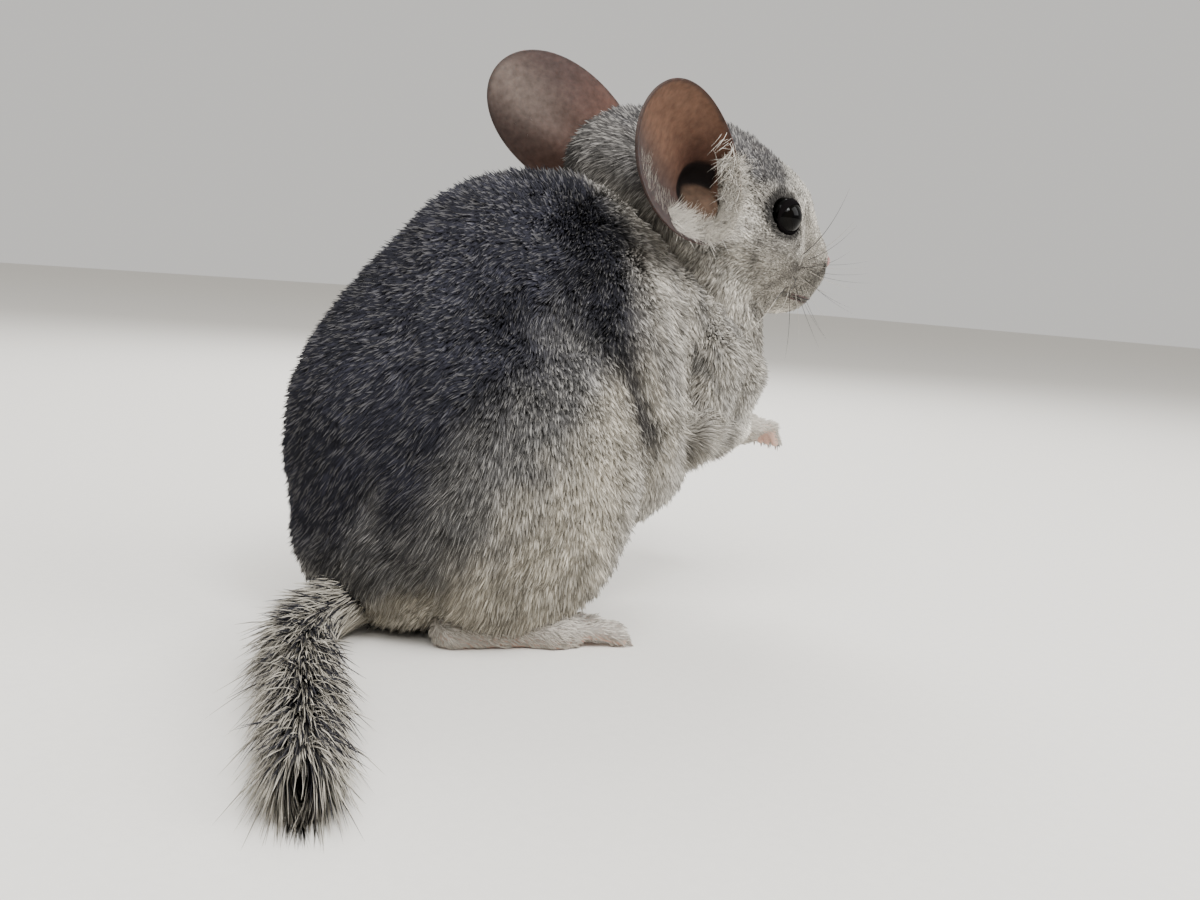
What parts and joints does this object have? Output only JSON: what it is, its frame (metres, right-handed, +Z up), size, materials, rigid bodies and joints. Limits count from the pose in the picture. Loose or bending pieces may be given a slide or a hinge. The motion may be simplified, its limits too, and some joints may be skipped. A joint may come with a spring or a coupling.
{
  "type": "sitting chinchilla",
  "caption": "Life-size grey chinchilla sitting up on its hind feet, hands held to its chest, ears laid back and brushy tail curled round beside it.",
  "frame": {"origin": "on the floor under the rump, on the body's plane of symmetry", "axes": "+Z up, -Y the way the body faces, +X the animal's left"},
  "size_m": [0.1802, 0.2412, 0.1791],
  "materials": {
    "coat": "dense soft plush fur, charcoal on the back, silver grey on the flanks and face",
    "tail": "coarse long hair, black and white, over short grey fur",
    "ear": "thin nearly bare skin, grey brown outside, pinkish brown inside",
    "paw": "short cream fur over pinkish skin",
    "eye": "wet and glossy, nearly black"
  },
  "bodies": {
    "root": {"torso": "coat", "neck": "coat", "head": "coat", "haunch_left": "coat", "haunch_right": "coat", "foreleg_left": "coat", "foreleg_right": "coat", "ear_left": "ear", "ear_right": "ear", "eye_left": "eye", "eye_right": "eye", "hand_left": "paw", "hand_right": "paw", "hind_foot_left": "paw", "hind_foot_right": "paw", "tail_root": "tail", "tail_middle": "tail", "tail_end": "tail"}
  },
  "joints": []
}
